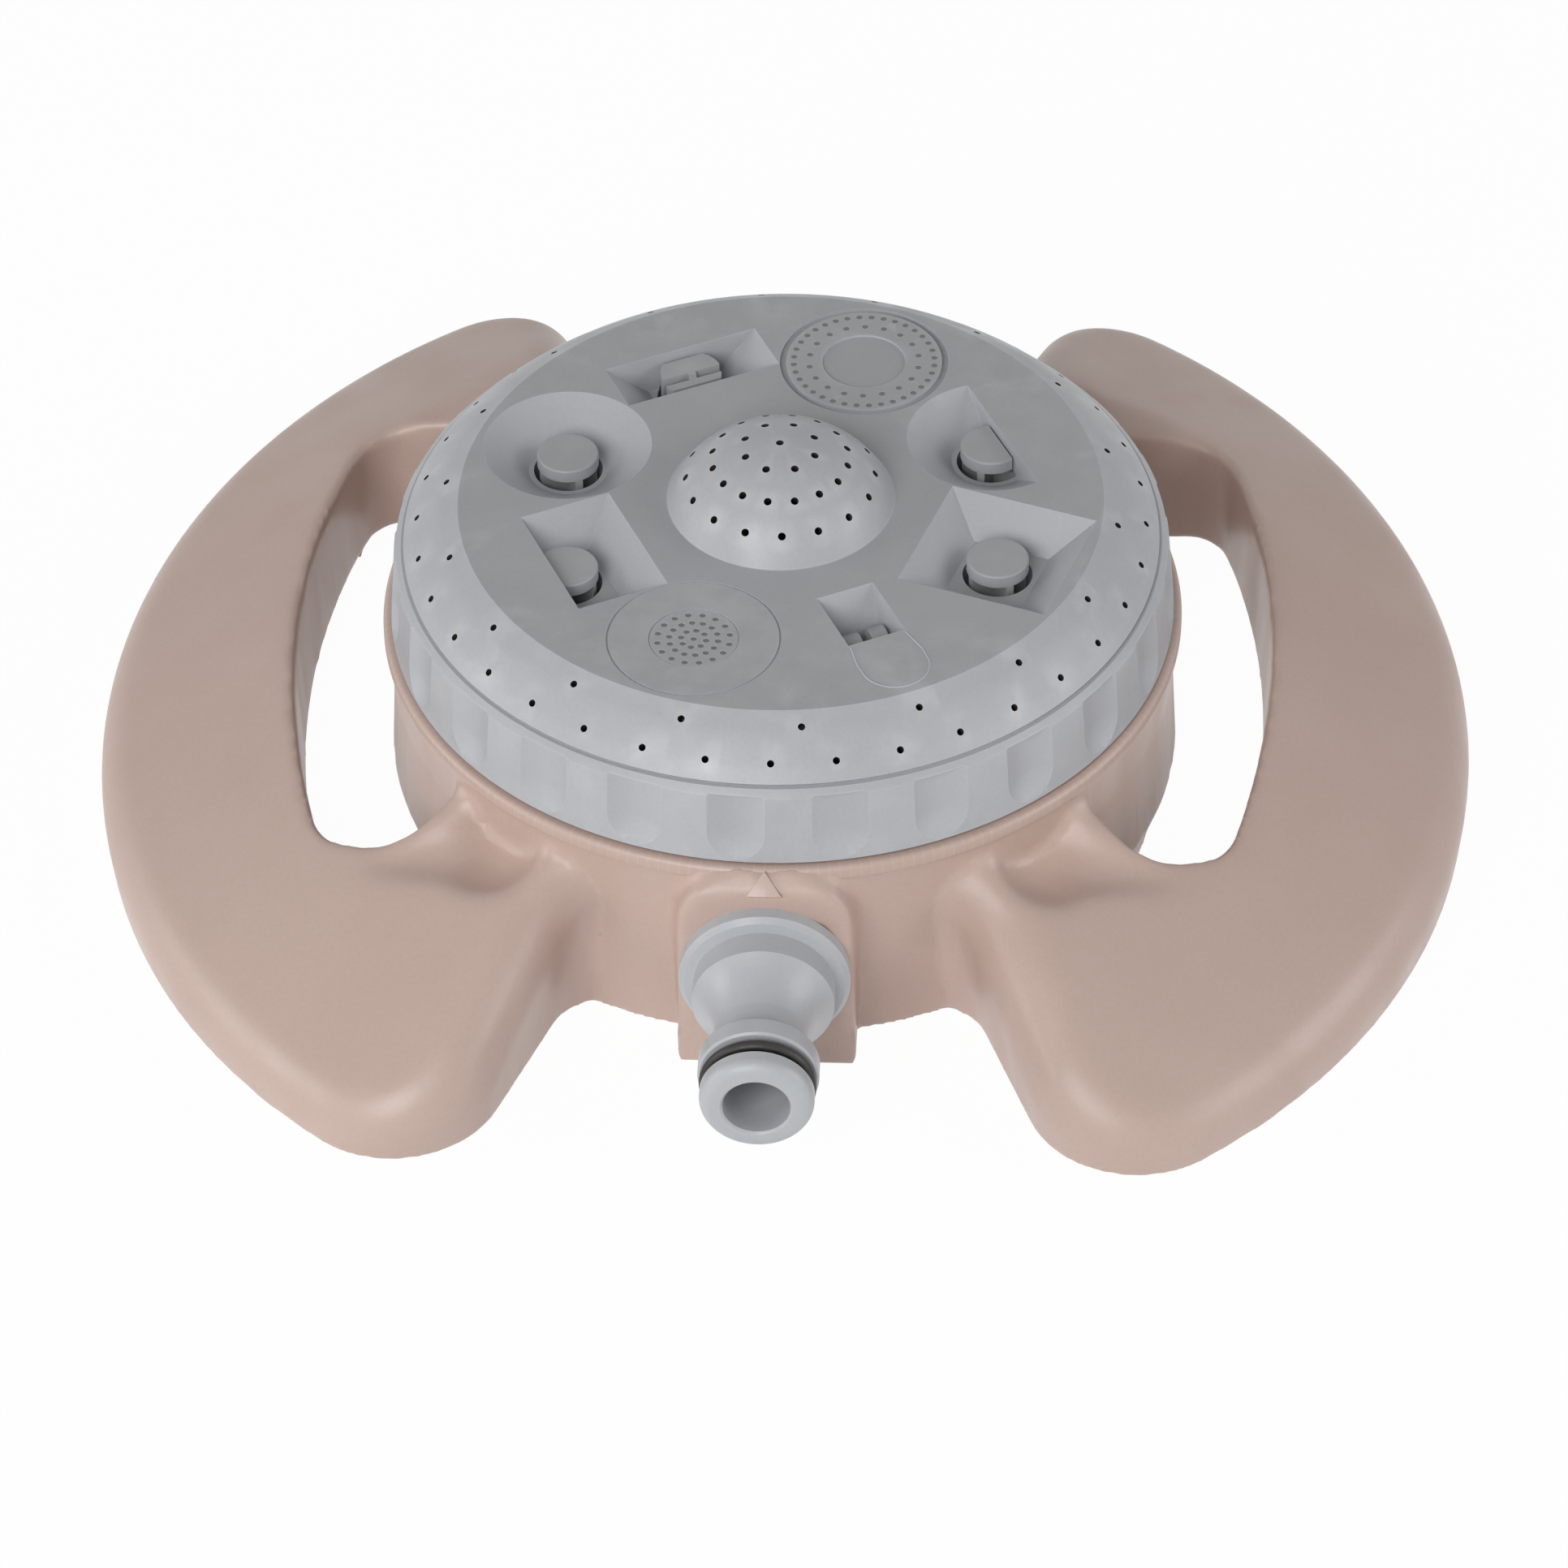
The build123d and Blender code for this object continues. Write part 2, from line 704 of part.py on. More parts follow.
parts = {
    "base_shell": base_shell(),
    "inlet_spigot": inlet_spigot(),
    "spigot_o_ring": spigot_ring(7.25, 0.78, o_ring_distance),
    "inlet_seal": spigot_ring(5.98, 0.56, seal_distance),
    "spigot_screws": spigot_screws(),
    "feed_duct": feed_duct(),
    "feed_duct_screws": duct_screws(),
    "outlet_sleeve": outlet_sleeve(),
    "sleeve_ring": sleeve_ring(),
    "outlet_seal": outlet_seal(),
    "outlet_spring": outlet_spring(),
    "click_plunger": click_plunger(),
    "click_spring": click_spring(),
    "pivot_bush": pivot_bush(),
    "pivot_washer": on_dial(pivot_washer()),
    "pivot_screw": on_dial(pivot_screw()),
    "port_plate": on_dial(port_plate()),
    "dial_cover": on_dial(dial_cover()),
    "fan_nozzle": on_dial(at_station(1, fan_nozzle())),
    "square_nozzle": on_dial(at_station(2, full_nozzle())),
    "half_round_nozzle": on_dial(at_station(3, cut_nozzle(half_round_cut - 0.3))),
    "strip_nozzle": on_dial(at_station(5, strip_nozzle())),
    "round_nozzle": on_dial(at_station(6, full_nozzle())),
    "rectangle_nozzle": on_dial(at_station(7, cut_nozzle(rectangle_cut - 0.3))),
}

os.makedirs("parts", exist_ok=True)
for name, shape in parts.items():
    export_step(shape, f"parts/{name}.step")
    print(name, round(shape.volume), "mm3", len(shape.solids()), "solids")
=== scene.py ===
import math

import bmesh
import bpy
from mathutils import Matrix, Vector


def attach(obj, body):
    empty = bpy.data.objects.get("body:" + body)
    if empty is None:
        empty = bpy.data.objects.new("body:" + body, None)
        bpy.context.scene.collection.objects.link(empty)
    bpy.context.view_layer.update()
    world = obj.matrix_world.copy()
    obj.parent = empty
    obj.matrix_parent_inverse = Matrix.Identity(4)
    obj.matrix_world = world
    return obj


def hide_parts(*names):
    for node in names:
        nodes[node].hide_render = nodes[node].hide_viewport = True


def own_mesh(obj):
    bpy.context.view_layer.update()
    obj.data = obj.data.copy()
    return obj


mm = 0.001
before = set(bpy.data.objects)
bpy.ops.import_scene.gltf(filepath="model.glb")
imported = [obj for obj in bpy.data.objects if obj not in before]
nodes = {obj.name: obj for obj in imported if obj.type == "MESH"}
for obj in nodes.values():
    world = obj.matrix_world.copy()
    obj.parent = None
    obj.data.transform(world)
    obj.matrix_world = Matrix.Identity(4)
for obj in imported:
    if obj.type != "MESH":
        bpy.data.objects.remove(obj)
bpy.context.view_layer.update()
print("frame loaded:", len(nodes), "nodes")

# The eight stations of the dial, counted round from the front left
dial = {
    "turn": 3.4, "firstStation": -112.5, "stationStep": 45.0,
    "stationRadius": 32.5 * mm, "flatTop": 53.3 * mm,
}


def stationAngle(number):
    return math.radians(dial["firstStation"] + dial["stationStep"] * number + dial["turn"])


def stationFrame(number):
    return Matrix.Rotation(stationAngle(number), 4, "Z") @ Matrix.Translation((dial["stationRadius"], 0, 0))


# Small helpers for picking and shaping

def deselectAll():
    for thing in bpy.context.selected_objects:
        thing.select_set(False)


def pick(thing):
    deselectAll()
    thing.select_set(True)
    bpy.context.view_layer.objects.active = thing


def editMode(thing):
    pick(thing)
    bpy.ops.object.mode_set(mode="EDIT")


def objectMode():
    bpy.ops.object.mode_set(mode="OBJECT")


def selectVertices(thing, test):
    # called in edit mode: selects the vertices whose place passes the test
    bpy.ops.mesh.select_mode(type="VERT")
    bpy.ops.mesh.select_all(action="DESELECT")
    objectMode()
    for vertex in thing.data.vertices:
        vertex.select = test(vertex.co)
    bpy.ops.object.mode_set(mode="EDIT")


def settle(thing):
    # puts the object at the origin with its place in its mesh
    pick(thing)
    bpy.ops.object.transform_apply(location=True, rotation=True, scale=True)


def applyModifier(thing, kind, **values):
    pick(thing)
    modifier = thing.modifiers.new(kind.lower(), kind)
    for name, value in values.items():
        setattr(modifier, name, value)
    bpy.ops.object.modifier_apply(modifier=modifier.name)


def dress(thing, name, material, body):
    thing.name = name
    thing.data.name = name
    thing.data.materials.clear()
    for one in material if isinstance(material, list) else [material]:
        thing.data.materials.append(one)
    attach(thing, body)
    return thing


# Shared effects as node groups

def newGroup(name, inputs, outputs):
    group = bpy.data.node_groups.new(name, "ShaderNodeTree")
    for label, kind, value in inputs:
        socket = group.interface.new_socket(label, in_out="INPUT", socket_type=kind)
        if value is not None:
            socket.default_value = value
    for label, kind in outputs:
        group.interface.new_socket(label, in_out="OUTPUT", socket_type=kind)
    start = group.nodes.new("NodeGroupInput")
    end = group.nodes.new("NodeGroupOutput")
    return group, start, end


def mathNode(tree, operation, first, second=None, clamp=False):
    node = tree.nodes.new("ShaderNodeMath")
    node.operation = operation
    node.use_clamp = clamp
    for index, value in enumerate((first, second)):
        if value is None:
            continue
        if isinstance(value, (int, float)):
            node.inputs[index].default_value = value
        else:
            tree.links.new(value, node.inputs[index])
    return node.outputs[0]


def noiseNode(tree, vector, scale, detail=2.0, roughness=0.5):
    node = tree.nodes.new("ShaderNodeTexNoise")
    node.inputs["Detail"].default_value = detail
    node.inputs["Roughness"].default_value = roughness
    tree.links.new(vector, node.inputs["Vector"])
    if isinstance(scale, (int, float)):
        node.inputs["Scale"].default_value = scale
    else:
        tree.links.new(scale, node.inputs["Scale"])
    return node.outputs["Fac"]


def rangeNode(tree, value, low, high, toLow=0.0, toHigh=1.0):
    node = tree.nodes.new("ShaderNodeMapRange")
    node.inputs["From Min"].default_value = low
    node.inputs["From Max"].default_value = high
    node.inputs["To Min"].default_value = toLow
    node.inputs["To Max"].default_value = toHigh
    tree.links.new(value, node.inputs["Value"])
    return node.outputs["Result"]


def mixColor(tree, factor, first, second):
    node = tree.nodes.new("ShaderNodeMix")
    node.data_type = "RGBA"
    for socket, value in ((node.inputs[0], factor), (node.inputs[6], first), (node.inputs[7], second)):
        if isinstance(value, (int, float, tuple)):
            socket.default_value = value
        else:
            tree.links.new(value, socket)
    return node.outputs[2]


def makeGrain():
    # fine eroded mould surface: a height for the bump and a faint speckle
    group, start, end = newGroup(
        "mouldGrain",
        [("Position", "NodeSocketVector", None), ("Scale", "NodeSocketFloat", 1500.0)],
        [("Height", "NodeSocketFloat"), ("Speckle", "NodeSocketFloat")],
    )
    position, scale = start.outputs["Position"], start.outputs["Scale"]
    fine = noiseNode(group, position, scale, 3.0, 0.6)
    coarse = noiseNode(group, position, mathNode(group, "MULTIPLY", scale, 0.35), 1.0)
    fineShare = mathNode(group, "MULTIPLY", fine, 0.7)
    coarseShare = mathNode(group, "MULTIPLY", coarse, 0.3)
    height = mathNode(group, "ADD", fineShare, coarseShare)
    group.links.new(height, end.inputs["Height"])
    group.links.new(rangeNode(group, fine, 0.35, 0.65), end.inputs["Speckle"])
    return group


def makeMottle():
    # slow cloudy variation as flow and cooling leave it in moulded plastic
    group, start, end = newGroup(
        "flowMottle",
        [("Position", "NodeSocketVector", None), ("Scale", "NodeSocketFloat", 30.0)],
        [("Cloud", "NodeSocketFloat"), ("Streak", "NodeSocketFloat")],
    )
    position, scale = start.outputs["Position"], start.outputs["Scale"]
    cloud = noiseNode(group, position, scale, 3.0, 0.55)
    stretch = group.nodes.new("ShaderNodeMapping")
    stretch.inputs["Scale"].default_value = (1.0, 1.0, 0.2)
    group.links.new(position, stretch.inputs["Vector"])
    streak = noiseNode(group, stretch.outputs["Vector"], mathNode(group, "MULTIPLY", scale, 4.0), 2.0)
    group.links.new(rangeNode(group, cloud, 0.3, 0.7), end.inputs["Cloud"])
    group.links.new(rangeNode(group, streak, 0.35, 0.65), end.inputs["Streak"])
    return group


# edge: pale convex edges, wear with painted highlight; corner: painted shade in concave corners; outline:
# painted highlight along sharp edges
wearAndLightShape = {
    "edge": (0.52, 0.60), "corner": (0.48, 0.42), "breakupScale": 260.0, "breakup": (0.35, 0.6),
    "outlineRadius": 0.3 * mm, "outline": (0.995, 0.90), "outlineSamples": 4,
}


def makeWearAndPaintedLight():
    # pale along convex edges, broken up by noise, partly rubbing wear and partly painted highlight; painted
    # shade darkening the concave corners; and a thin pale outline along every sharp edge, a painted
    # highlight
    group, start, end = newGroup(
        "edgeWearAndPaintedLight",
        [("Position", "NodeSocketVector", None), ("Amount", "NodeSocketFloat", 0.5)],
        [("Edge", "NodeSocketFloat"), ("CornerShade", "NodeSocketFloat"), ("OutlineHighlight", "NodeSocketFloat")],
    )
    geometry = group.nodes.new("ShaderNodeNewGeometry")
    point = geometry.outputs["Pointiness"]
    breakup = noiseNode(group, start.outputs["Position"], wearAndLightShape["breakupScale"], 3.0)
    broken = rangeNode(group, breakup, *wearAndLightShape["breakup"])
    # pale convex edges: rubbing wear together with painted highlight
    edge = mathNode(group, "MULTIPLY", rangeNode(group, point, *wearAndLightShape["edge"]), broken)
    # darker concave corners: painted shade
    corner = rangeNode(group, point, *wearAndLightShape["corner"])
    amount = start.outputs["Amount"]
    # pale line where the rounded normal turns away from the true one: painted highlight along every sharp
    # edge
    rounded = group.nodes.new("ShaderNodeBevel")
    rounded.samples = wearAndLightShape["outlineSamples"]
    rounded.inputs["Radius"].default_value = wearAndLightShape["outlineRadius"]
    agree = group.nodes.new("ShaderNodeVectorMath")
    agree.operation = "DOT_PRODUCT"
    group.links.new(rounded.outputs["Normal"], agree.inputs[0])
    group.links.new(geometry.outputs["Normal"], agree.inputs[1])
    outline = rangeNode(group, agree.outputs["Value"], *wearAndLightShape["outline"])
    group.links.new(mathNode(group, "MULTIPLY", outline, amount, True), end.inputs["OutlineHighlight"])
    group.links.new(mathNode(group, "MULTIPLY", edge, amount, True), end.inputs["Edge"])
    group.links.new(mathNode(group, "MULTIPLY", corner, amount, True), end.inputs["CornerShade"])
    return group


grainGroup = makeGrain()
mottleGroup = makeMottle()
wearAndLightGroup = makeWearAndPaintedLight()


def useGroup(tree, group, position, **values):
    node = tree.nodes.new("ShaderNodeGroup")
    node.node_tree = group
    tree.links.new(position, node.inputs["Position"])
    for name, value in values.items():
        node.inputs[name].default_value = value
    return node


def srgb(red, green, blue):
    # colour as it is read off a screen, 0 to 255, made linear
    linear = []
    for value in (red, green, blue):
        part = value / 255
        linear.append(part / 12.92 if part <= 0.04045 else ((part + 0.055) / 1.055) ** 2.4)
    return (*linear, 1.0)


# Materials

# wearAndLight sets how strongly the edge wear with painted highlight, the painted corner shade and the
# painted outline highlight show
looks = {
    "basePlastic": {
        "color": srgb(197, 173, 162), "deep": srgb(183, 158, 147), "pale": srgb(220, 203, 195),
        "rough": (0.33, 0.43), "grainScale": 1700.0, "grainHeight": 0.035, "mottleScale": 26.0,
        "wearAndLight": 0.5, "specular": 0.5,
    },
    "dialPlastic": {
        "color": srgb(180, 182, 186), "deep": srgb(167, 170, 175), "pale": srgb(210, 212, 216),
        "rough": (0.34, 0.44), "grainScale": 1900.0, "grainHeight": 0.025, "mottleScale": 34.0,
        "wearAndLight": 0.6, "specular": 0.45,
    },
    "spigotPlastic": {
        "color": srgb(182, 185, 189), "deep": srgb(168, 171, 176), "pale": srgb(208, 210, 214),
        "rough": (0.34, 0.44), "grainScale": 1700.0, "grainHeight": 0.02, "mottleScale": 60.0,
        "wearAndLight": 0.4, "specular": 0.45,
    },
    "nozzlePlastic": {
        "color": srgb(170, 171, 173), "deep": srgb(156, 157, 160), "pale": srgb(194, 195, 197),
        "rough": (0.42, 0.52), "grainScale": 2100.0, "grainHeight": 0.02, "mottleScale": 90.0,
        "wearAndLight": 0.4, "specular": 0.4,
    },
    # dark brown for the parts inside the dial and the drum: painted shade standing for the dark seen inside
    "innerPaintedShade": {
        "color": srgb(58, 50, 46), "deep": srgb(42, 36, 33), "pale": srgb(78, 70, 66),
        "rough": (0.45, 0.6), "grainScale": 1500.0, "grainHeight": 0.02, "mottleScale": 60.0,
        "wearAndLight": 0.2, "specular": 0.4,
    },
    "bearingPlastic": {
        "color": srgb(222, 220, 211), "deep": srgb(208, 205, 194), "pale": srgb(236, 235, 228),
        "rough": (0.3, 0.42), "grainScale": 1500.0, "grainHeight": 0.01, "mottleScale": 80.0,
        "wearAndLight": 0.2, "specular": 0.45,
    },
    "sealRubber": {
        "color": srgb(34, 31, 29), "deep": srgb(22, 20, 19), "pale": srgb(60, 57, 54),
        "rough": (0.38, 0.55), "grainScale": 2400.0, "grainHeight": 0.03, "mottleScale": 160.0,
        "wearAndLight": 0.3, "specular": 0.5,
    },
}


# how strongly each effect shows on the plastics
# edge is wear with painted highlight, corner is painted shade, outline is painted highlight
shares = {
    "cloud": 0.45, "speckle": 0.10, "streak": 0.12, "edge": 0.6, "corner": 0.5, "outline": 0.55, "bump": 0.6,
}


def plasticMaterial(name, look):
    material = bpy.data.materials.new(name)
    material.use_nodes = True
    tree = material.node_tree
    shader = tree.nodes["Principled BSDF"]
    place = tree.nodes.new("ShaderNodeTexCoord").outputs["Object"]
    grain = useGroup(tree, grainGroup, place, Scale=look["grainScale"])
    mottle = useGroup(tree, mottleGroup, place, Scale=look["mottleScale"])
    wearAndLight = useGroup(tree, wearAndLightGroup, place, Amount=look["wearAndLight"])

    layers = (
        ("cloud", mottle.outputs["Cloud"], "deep"),
        ("speckle", grain.outputs["Speckle"], "pale"),
        ("streak", mottle.outputs["Streak"], "deep"),
        # edge: wear and painted highlight; corner: painted shade; outline: painted highlight
        ("edge", wearAndLight.outputs["Edge"], "pale"),
        ("corner", wearAndLight.outputs["CornerShade"], "deep"),
        ("outline", wearAndLight.outputs["OutlineHighlight"], "pale"),
    )
    color = look["color"]
    for share, mask, tone in layers:
        color = mixColor(tree, mathNode(tree, "MULTIPLY", mask, shares[share]), color, look[tone])
    tree.links.new(color, shader.inputs["Base Color"])

    low, high = look["rough"]
    rough = rangeNode(tree, mottle.outputs["Streak"], 0.0, 1.0, low, high)
    tree.links.new(rough, shader.inputs["Roughness"])
    bump = tree.nodes.new("ShaderNodeBump")
    bump.inputs["Strength"].default_value = shares["bump"]
    bump.inputs["Distance"].default_value = look["grainHeight"] * mm
    tree.links.new(grain.outputs["Height"], bump.inputs["Height"])
    tree.links.new(bump.outputs["Normal"], shader.inputs["Normal"])
    shader.inputs["Specular IOR Level"].default_value = look["specular"]
    return material


materials = {name: plasticMaterial(name, look) for name, look in looks.items()}


# shadeTint darkens the flat: painted shade; rougher is its real matt finish
mattShadedFace = {
    "outer": 45.45 * mm, "inner": 16.1 * mm, "soft": 0.1 * mm, "level": (0.96, 0.985),
    "shadeTint": (0.90, 0.885, 0.87, 1.0), "rougher": 0.2,
}


def addMattShadedFace(material):
    # the flat face of the dial is more matt than its rim and its dome, and painted darker where it faces up:
    # painted shade
    tree = material.node_tree
    shader = tree.nodes["Principled BSDF"]
    place = tree.nodes.new("ShaderNodeTexCoord").outputs["Object"]
    split = tree.nodes.new("ShaderNodeSeparateXYZ")
    tree.links.new(place, split.inputs[0])
    x, y = split.outputs["X"], split.outputs["Y"]
    squares = mathNode(tree, "ADD", mathNode(tree, "MULTIPLY", x, x), mathNode(tree, "MULTIPLY", y, y))
    radius = mathNode(tree, "SQRT", squares)
    soft = mattShadedFace["soft"]
    inside = rangeNode(tree, radius, mattShadedFace["outer"] - soft, mattShadedFace["outer"] + soft, 1.0, 0.0)
    outside = rangeNode(tree, radius, mattShadedFace["inner"] - soft, mattShadedFace["inner"] + soft)
    facing = tree.nodes.new("ShaderNodeSeparateXYZ")
    tree.links.new(tree.nodes.new("ShaderNodeNewGeometry").outputs["True Normal"], facing.inputs[0])
    # only faces that point straight up get the painted shade
    level = rangeNode(tree, facing.outputs["Z"], *mattShadedFace["level"])
    mask = mathNode(tree, "MULTIPLY", mathNode(tree, "MULTIPLY", inside, outside), level)

    color = shader.inputs["Base Color"].links[0].from_socket
    rough = shader.inputs["Roughness"].links[0].from_socket
    flatShade = tree.nodes.new("ShaderNodeMix")
    flatShade.data_type = "RGBA"
    flatShade.blend_type = "MULTIPLY"
    flatShade.inputs[7].default_value = mattShadedFace["shadeTint"]
    tree.links.new(mask, flatShade.inputs[0])
    tree.links.new(color, flatShade.inputs[6])
    tree.links.new(flatShade.outputs[2], shader.inputs["Base Color"])
    rougher = mathNode(tree, "ADD", rough, mathNode(tree, "MULTIPLY", mask, mattShadedFace["rougher"]), True)
    tree.links.new(rougher, shader.inputs["Roughness"])


addMattShadedFace(materials["dialPlastic"])

steel = {
    "wearAndLight": 0.6, "brushScale": 2200.0, "brush": (0.3, 0.7), "cloudScale": 240.0, "cloud": (0.35, 0.75),
    "dull": 0.7, "bright": 1.3, "roughSpread": 0.15, "bump": 0.3, "bumpHeight": 0.01 * mm,
}


def shade(color, factor):
    return tuple(min(1.0, part * factor) for part in color[:3]) + (1.0,)


def steelMaterial(name, color, rough):
    material = bpy.data.materials.new(name)
    material.use_nodes = True
    tree = material.node_tree
    shader = tree.nodes["Principled BSDF"]
    place = tree.nodes.new("ShaderNodeTexCoord").outputs["Object"]
    wearAndLight = useGroup(tree, wearAndLightGroup, place, Amount=steel["wearAndLight"])
    stretch = tree.nodes.new("ShaderNodeMapping")
    stretch.inputs["Scale"].default_value = (1.0, 1.0, 0.1)
    tree.links.new(place, stretch.inputs["Vector"])
    brushed = noiseNode(tree, stretch.outputs["Vector"], steel["brushScale"], 3.0)
    cloud = noiseNode(tree, place, steel["cloudScale"], 3.0)
    clouded = rangeNode(tree, cloud, *steel["cloud"])
    tone = mixColor(tree, clouded, color, shade(color, steel["dull"]))
    # lighter along convex edges: wear together with painted highlight
    tone = mixColor(tree, wearAndLight.outputs["Edge"], tone, shade(color, steel["bright"]))
    tree.links.new(tone, shader.inputs["Base Color"])
    streaks = rangeNode(tree, brushed, *steel["brush"], rough, rough + steel["roughSpread"])
    tree.links.new(streaks, shader.inputs["Roughness"])
    bump = tree.nodes.new("ShaderNodeBump")
    bump.inputs["Strength"].default_value = steel["bump"]
    bump.inputs["Distance"].default_value = steel["bumpHeight"]
    tree.links.new(brushed, bump.inputs["Height"])
    tree.links.new(bump.outputs["Normal"], shader.inputs["Normal"])
    shader.inputs["Metallic"].default_value = 1.0
    return material


materials["screwSteel"] = steelMaterial("screwSteel", srgb(200, 198, 192), 0.28)
materials["springSteel"] = steelMaterial("springSteel", srgb(186, 186, 188), 0.22)
print("materials made:", len(materials))


# Smooth copies of the CAD nodes whose shape is right but whose triangles are loose

def mergedCopy(node, name):
    source = nodes[node]
    deselectAll()
    copy = source.copy()
    copy.data = source.data.copy()
    copy.parent = None
    bpy.context.scene.collection.objects.link(copy)
    copy.name = name
    for key in list(copy.keys()):
        if key.startswith("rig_"):
            del copy[key]
    editMode(copy)
    bpy.ops.mesh.select_all(action="SELECT")
    bpy.ops.mesh.remove_doubles(threshold=0.002 * mm)
    objectMode()
    if copy.data.has_custom_normals:
        bpy.ops.mesh.customdata_custom_splitnormals_clear()
    return copy


def smoothCopy(node, name, material, body):
    copy = mergedCopy(node, name)
    pick(copy)
    bpy.ops.object.shade_smooth_by_angle(angle=smoothAngle)
    applyModifier(copy, "WEIGHTED_NORMAL", keep_sharp=True, weight=60)
    dress(copy, name, material, body)
    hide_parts(node)
    return copy


smoothAngle = math.radians(28)
smoothPieces = [
    ("dial_cover", "dialCover", "dialPlastic", "dial", "dial_plastic"),
    ("inlet_spigot", "hoseSpigot", "spigotPlastic", "base", "spigot_plastic"),
    ("spigot_o_ring", "spigotRing", "sealRubber", "base", "seal_rubber"),
    ("fan_nozzle", "fanNozzle", "nozzlePlastic", "dial", "nozzle_plastic"),
    ("square_nozzle", "squareNozzle", "nozzlePlastic", "dial", "nozzle_plastic"),
    ("half_round_nozzle", "halfRoundNozzle", "nozzlePlastic", "dial", "nozzle_plastic"),
    ("strip_nozzle", "stripNozzle", "nozzlePlastic", "dial", "nozzle_plastic"),
    ("round_nozzle", "roundNozzle", "nozzlePlastic", "dial", "nozzle_plastic"),
    ("rectangle_nozzle", "rectangleNozzle", "nozzlePlastic", "dial", "nozzle_plastic"),
    ("port_plate", "portPlate", "innerPaintedShade", "dial", "inner_plastic"),
    ("feed_duct", "feedDuct", "innerPaintedShade", "base", "inner_plastic"),
    ("outlet_spring", "outletSpring", "springSteel", "base", "spring_steel"),
    ("click_spring", "clickSpring", "springSteel", "base", "spring_steel"),
]
made = {}
for node, name, material, body, slot in smoothPieces:
    made[name] = smoothCopy(node, name, materials[material], body)
print("smooth copies made:", len(smoothPieces))


# Painted shade on the walls of the spray holes, and the two lumps of the fan nozzle at their full height

sprayHoles = {
    "domeRadius": 15.6 * mm, "domeCentre": Vector((0, 0, 45.2 * mm)), "domeLow": 52.0 * mm,
    "shoulderInner": 45.6 * mm, "shoulderOuter": 52.8 * mm, "shoulderLow": 44.0 * mm, "across": 0.45,
}
fanLumps = {"station": 1, "foot": 46.1 * mm, "inwards": 1.5 * mm, "lift": 2.6 * mm}


def paintHoleShade(cover):
    # the walls across each hole take the dark brown: painted shade in the holes
    cover.data.materials.append(materials["innerPaintedShade"])
    shadeSlot = len(cover.data.materials) - 1
    shape = sprayHoles
    for face in cover.data.polygons:
        place = face.center
        flat = math.hypot(place.x, place.y)
        if flat < shape["domeRadius"] and place.z > shape["domeLow"]:
            outwards = (place - shape["domeCentre"]).normalized()
        elif shape["shoulderInner"] < flat < shape["shoulderOuter"] and place.z > shape["shoulderLow"]:
            outwards = Vector((place.x / flat, place.y / flat, 1.0)).normalized()
        else:
            continue
        if abs(face.normal.dot(outwards)) < shape["across"]:
            face.material_index = shadeSlot


def raiseLumps(fan):
    angle = stationAngle(fanLumps["station"])
    inwards = Vector((-math.cos(angle), -math.sin(angle), 0)) * fanLumps["inwards"]
    editMode(fan)
    selectVertices(fan, lambda place: place.z > fanLumps["foot"])
    bpy.ops.transform.translate(value=inwards + Vector((0, 0, fanLumps["lift"])))
    objectMode()


paintHoleShade(made["dialCover"])
raiseLumps(made["fanNozzle"])


# Springs, which shorten with the piece they carry; here each only gets its own mesh, and its joint, foot and
# travel are listed but not used

springs = {
    "outletSpring": {"joint": "outlet_press", "foot": 12.1 * mm, "travel": 1.2 * mm},
    "clickSpring": {"joint": "click_press", "foot": 16.1 * mm, "travel": 1.2 * mm},
}
for name, spring in springs.items():
    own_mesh(made[name])


# The other CAD nodes keep their own mesh and get a finished material

keptNodes = {
    "inlet_seal": "sealRubber",
    "sleeve_ring": "sealRubber",
    "outlet_seal": "sealRubber",
    "outlet_sleeve": "bearingPlastic",
    "click_plunger": "bearingPlastic",
    "pivot_bush": "bearingPlastic",
    "spigot_screws": "screwSteel",
    "feed_duct_screws": "screwSteel",
    "pivot_washer": "screwSteel",
    "pivot_screw": "screwSteel",
}
for node, material in keptNodes.items():
    nodes[node].data.materials.clear()
    nodes[node].data.materials.append(materials[material])


# Base shell, with the soft edges of the moulding

baseShape = {
    "voxel": 0.5 * mm,
    "wingRadius": 58.0 * mm,
    "valleyRadius": 57.0 * mm,
    "blockHalfWidth": 13.5 * mm,
    "wingRounds": 10,
    "valleyRounds": 60,
    "allRounds": 4,
    "keep": 0.18,
    "valleys": [Vector((0.047, -0.046, 0.025)), Vector((0.046, 0.048, 0.029))],
    "valleyReach": 19.0 * mm,
    "edgeAngle": math.radians(24),
    "edgeGrow": 3,
    "edgeRounds": 45,
    "edgeLow": 5.0 * mm,
    "edgeInner": 50.0 * mm,
    "notch": Vector((0.0652, 0.0473, 0.0)),
    "notchReach": 6.0 * mm,
}


def markEdges(base):
    # a band along the sharp edges above the foot, where the voxels leave steps
    work = bmesh.new()
    work.from_mesh(base.data)
    band = set()
    for edge in work.edges:
        if edge.calc_face_angle(0.0) > baseShape["edgeAngle"]:
            band.update(edge.verts)
    for _ in range(baseShape["edgeGrow"]):
        band.update([edge.other_vert(vertex) for vertex in band for edge in vertex.link_edges])
    chosen = [
        vertex.index for vertex in band
        if vertex.co.z > baseShape["edgeLow"]
        and math.hypot(vertex.co.x, vertex.co.y) > baseShape["edgeInner"]
    ]
    work.free()
    base.vertex_groups.new(name="edges").add(chosen, 1.0, "REPLACE")


